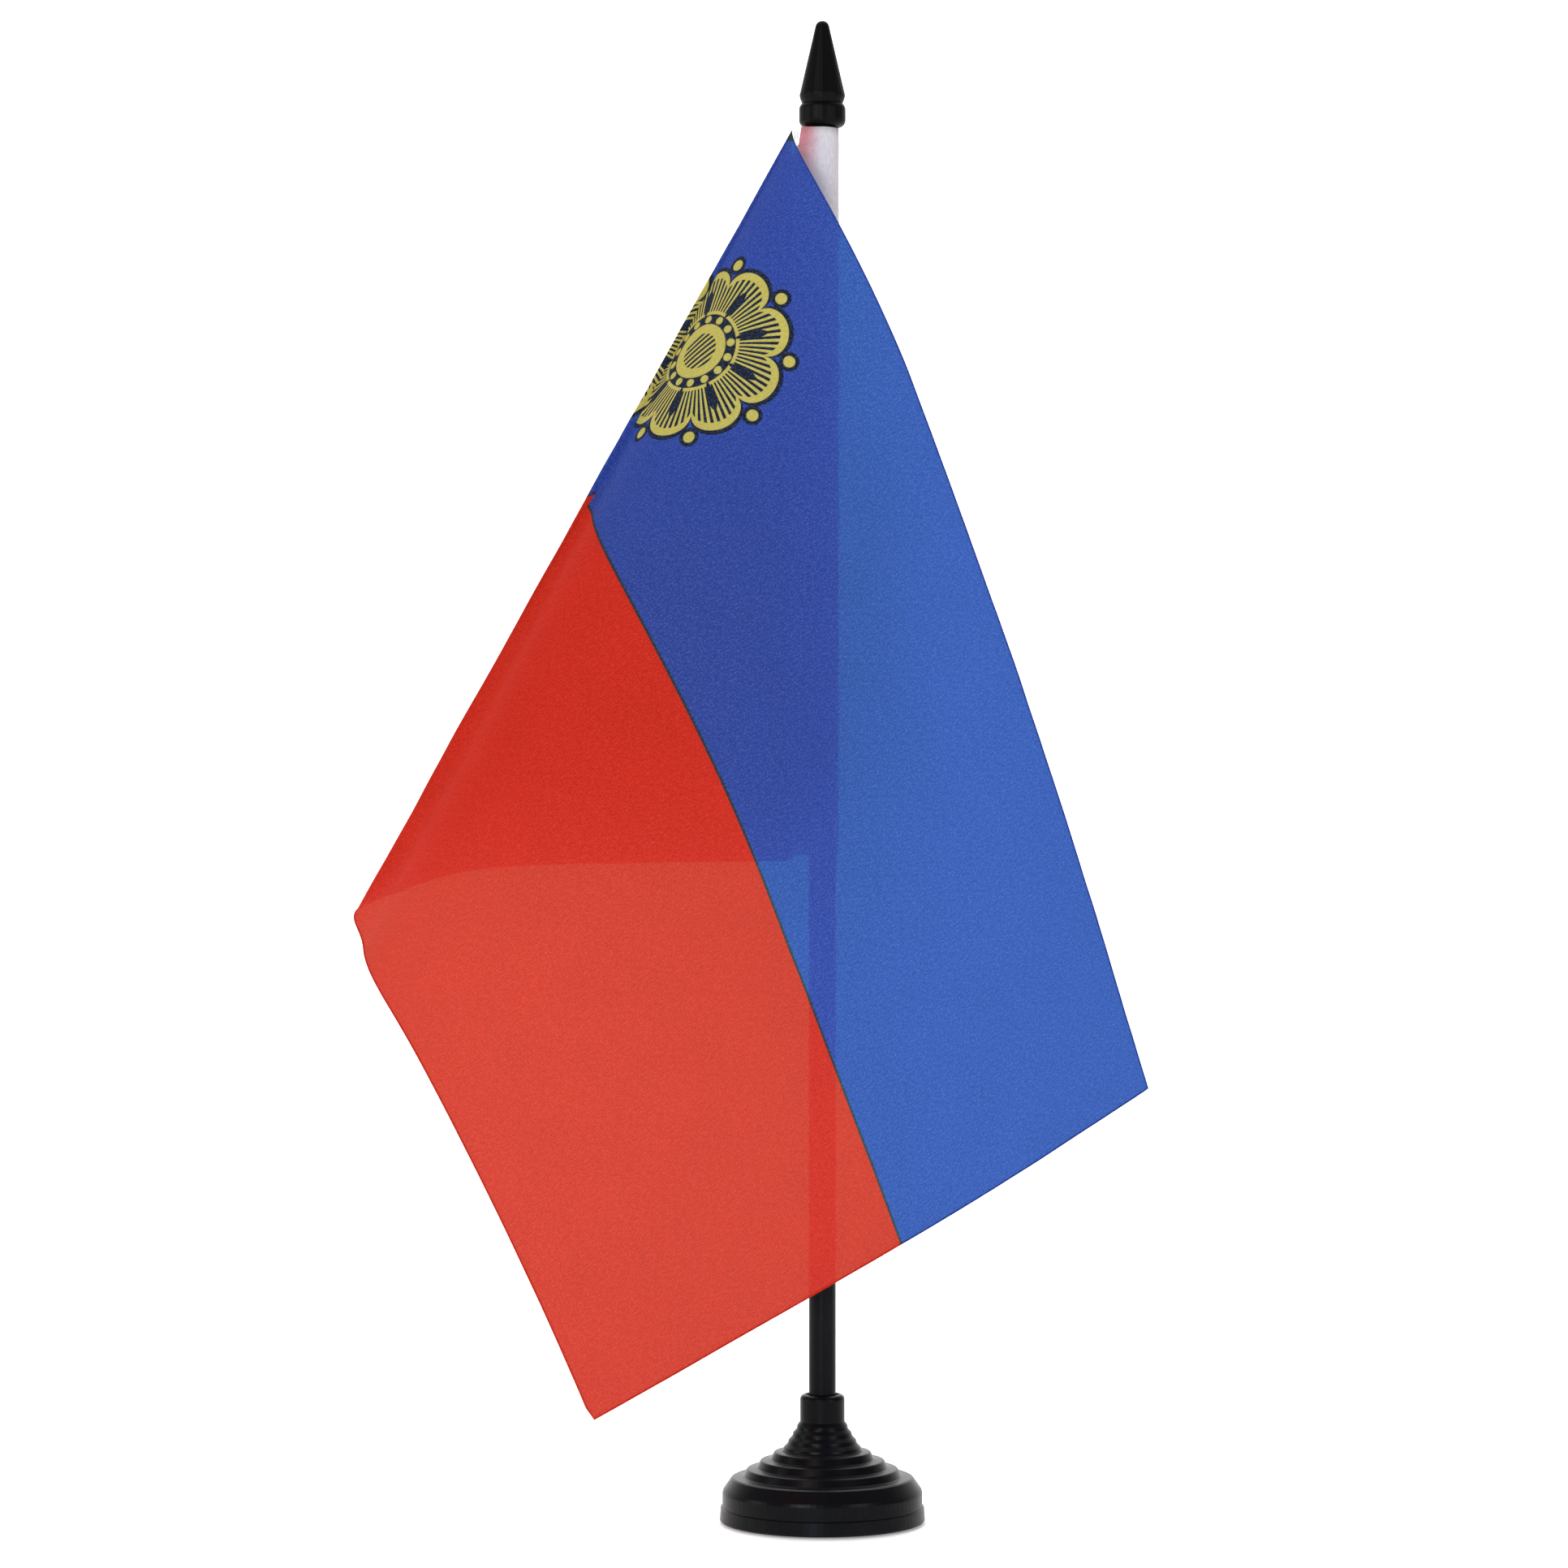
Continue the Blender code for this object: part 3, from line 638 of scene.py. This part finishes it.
def sleeve_loop(inset, height):
    """Cross-section of the sleeve at one height: round the pole, with a flat tail to the seam."""
    radius = SLEEVE_RADIUS - inset
    half = max(SLEEVE_TAIL / 2 - inset, THINNEST)
    spread = math.acos(radius / SEAM_RADIUS) * TUBE_SHARE
    points = []
    depth = (FLAG_TOP - height) / FLAG_HEIGHT
    for step in range(SLEEVE_STEPS + 1):
        angle = spread + (math.tau - 2 * spread) * step / SLEEVE_STEPS
        slow, fine = (height * scale for scale in CREASE_SCALES)
        crease = noise.noise(Vector((math.cos(angle) * 1.3, math.sin(angle) * 1.3, slow)))
        crease += CREASE_SHARE * noise.noise(Vector((angle * 1.5, 4.2, fine)))
        bulge = radius + SLEEVE_CREASE * crease
        points.append(Vector((bulge * math.cos(angle) + SLEEVE_SHIFT, bulge * math.sin(angle), 0)))
    tail = SEAM_RADIUS - TAIL_END - inset / 2
    steps = range(1, TAIL_STEPS + 1)
    for start, end, order in ((points[-1], -half, steps), (points[0], half, reversed(steps))):
        for step in order:
            share = step / TAIL_STEPS
            ease = 1 - (1 - share) ** 2
            points.append(Vector((start.x + (tail - start.x) * share,
                                  start.y + (end - start.y) * ease, 0)))
    turn = Matrix.Rotation(math.pi + FLAG_AZIMUTH, 3, "Z")
    placed = []
    for point in points:
        spot = turn @ point
        share = min(max((-spot.x - NOTCH_START) / NOTCH_WIDTH, 0.0), 1.0)
        notch = NOTCH_DEPTH * share * share * (3 - 2 * share) * (1 - depth) ** NOTCH_FADE
        placed.append(spot + Vector((0, 0, height - notch)))
    return placed


def make_sleeve(material):
    shape = bmesh.new()
    layer = shape.loops.layers.uv.new("cut")
    walls = []
    for inset in (0.0, SLEEVE_CLOTH):
        wall = []
        for row in range(SLEEVE_ROWS + 1):
            height = FLAG_TOP - FLAG_HEIGHT * row / SLEEVE_ROWS
            wall.append([shape.verts.new(point) for point in sleeve_loop(inset, height)])
        walls.append(wall)
    outer, inner = walls
    count = len(outer[0])
    for wall in walls:
        for above, below in zip(wall, wall[1:]):
            for step in range(count):
                following = (step + 1) % count
                shape.faces.new((above[step], below[step], below[following], above[following]))
    for row in (0, SLEEVE_ROWS):
        for step in range(count):
            following = (step + 1) % count
            shape.faces.new((outer[row][step], outer[row][following],
                             inner[row][following], inner[row][step]))
    bmesh.ops.recalc_face_normals(shape, faces=shape.faces)
    for face in shape.faces:
        for loop in face.loops:
            around = math.atan2(loop.vert.co.y, loop.vert.co.x) * SLEEVE_RADIUS
            loop[layer].uv = (around / MM, (FLAG_TOP - loop.vert.co.z) / MM)
    mesh = bpy.data.meshes.new("sleeve_fabric")
    shape.to_mesh(mesh)
    shape.free()
    return link("sleeve_fabric", mesh, material)


def make_seam_thread(material):
    """Two rows of lock stitches, one on each face of the sleeve's tail."""
    shape = bmesh.new()
    turn = Matrix.Rotation(math.pi + FLAG_AZIMUTH, 3, "Z")
    pitch = STITCH_LENGTH + STITCH_GAP
    for row in range(int(FLAG_HEIGHT / pitch)):
        middle = FLAG_TOP - pitch * (row + 0.6)
        for side in (-1, 1):
            rings = []
            for step in range(STITCH_RINGS + 1):
                share = 2 * step / STITCH_RINGS - 1
                swell = STITCH_RADIUS * math.sqrt(max(1 - share ** 4, 0.03))
                base = Vector((SEAM_RADIUS - STITCH_INSET, side * (SLEEVE_TAIL / 2 + 0.02 * MM), 0))
                ring = []
                for corner in range(STITCH_SIDES):
                    angle = math.tau * corner / STITCH_SIDES
                    offset = Vector((math.cos(angle), math.sin(angle), 0)) * swell
                    lift = Vector((0, 0, middle + share * STITCH_LENGTH / 2))
                    ring.append(shape.verts.new(turn @ (base + offset) + lift))
                rings.append(ring)
            for below, above in zip(rings, rings[1:]):
                for corner in range(STITCH_SIDES):
                    following = (corner + 1) % STITCH_SIDES
                    shape.faces.new((below[corner], below[following], above[following], above[corner]))
            shape.faces.new(rings[0])
            shape.faces.new(rings[-1])
    bmesh.ops.recalc_face_normals(shape, faces=shape.faces)
    mesh = bpy.data.meshes.new("seam_thread")
    shape.to_mesh(mesh)
    shape.free()
    return link("seam_thread", mesh, material)


def make_camera():
    camera = bpy.data.cameras.new("camera")
    camera.sensor_width = 36.0
    camera.lens = CAMERA_LENS
    item = bpy.data.objects.new("camera", camera)
    item.location = (CAMERA_SIDE, -CAMERA_DISTANCE, CAMERA_HEIGHT)
    item.rotation_euler = (math.radians(90), 0, 0)
    bpy.context.collection.objects.link(item)
    bpy.context.scene.camera = item


make_camera()


def make_stage():
    """Pale floor that curves up into a wall behind the object."""
    shape = bmesh.new()
    rings = []
    profile = [(y, 0.0) for y in FLOOR_ROWS]
    cove_start = FLOOR_ROWS[-1]
    for step in range(1, COVE_STEPS + 1):
        angle = math.radians(90) * step / COVE_STEPS
        profile.append((cove_start + COVE_RADIUS * math.sin(angle),
                        COVE_RADIUS * (1 - math.cos(angle))))
    profile.append((cove_start + COVE_RADIUS, STAGE_SIZE))
    for y, z in profile:
        rings.append([shape.verts.new((x, y, z)) for x in (-STAGE_SIZE, STAGE_SIZE)])
    for near, far in zip(rings, rings[1:]):
        shape.faces.new((near[0], near[1], far[1], far[0]))
    mesh = bpy.data.meshes.new("studio_floor")
    shape.to_mesh(mesh)
    shape.free()
    link("studio_floor", mesh, paper_white("studio_paper"))


def make_light(name, place, target, size, power, colour):
    lamp = bpy.data.lights.new(name, "AREA")
    lamp.color = colour
    lamp.shape = "RECTANGLE"
    lamp.size, lamp.size_y = size
    lamp.energy = power
    item = bpy.data.objects.new(name, lamp)
    item.location = place
    item.rotation_euler = (Vector(target) - Vector(place)).to_track_quat("-Z", "Y").to_euler()
    bpy.context.collection.objects.link(item)


make_stage()
world = bpy.data.worlds.new("studio_world")
world.use_nodes = True
world.node_tree.nodes["Background"].inputs["Color"].default_value = (*DAYLIGHT, 1.0)
world.node_tree.nodes["Background"].inputs["Strength"].default_value = SURROUND
bpy.context.scene.world = world
bpy.context.scene.view_settings.view_transform = "Standard"
for light in LIGHTS:
    make_light(*light)

PRINTED = satin("printed_satin", True)
PLAIN = satin("white_satin", False)
flag, border = make_flag(PRINTED)
cut_edge = make_cut_edge(border, PRINTED)
sleeve = make_sleeve(PLAIN)
thread = make_seam_thread(spun_thread("white_thread"))
for piece in (flag, cut_edge, sleeve, thread):
    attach(piece, "flag")
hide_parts("flag_cloth")
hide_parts("flag_sleeve")

PLASTIC = moulded("black_moulding", (0.0032, 0.0034, 0.0042), 0.3, 0.12)
FINISHES = {
    "base_shell": PLASTIC,
    "finial": moulded("black_cap", (0.0028, 0.0028, 0.0027), 0.42, 0.3),
    "pole": moulded("black_rod", (0.0035, 0.0036, 0.0042), 0.33, 0.3),
    "base_cover": moulded("grey_cover", (0.03, 0.03, 0.03), 0.5, 0.6),
    "ballast_disc": cast_steel("ballast_steel"),
    "base_pad": foam("foam_pad"),
}
for node_name, finish in FINISHES.items():
    bpy.data.objects[node_name].material_slots[0].material = finish
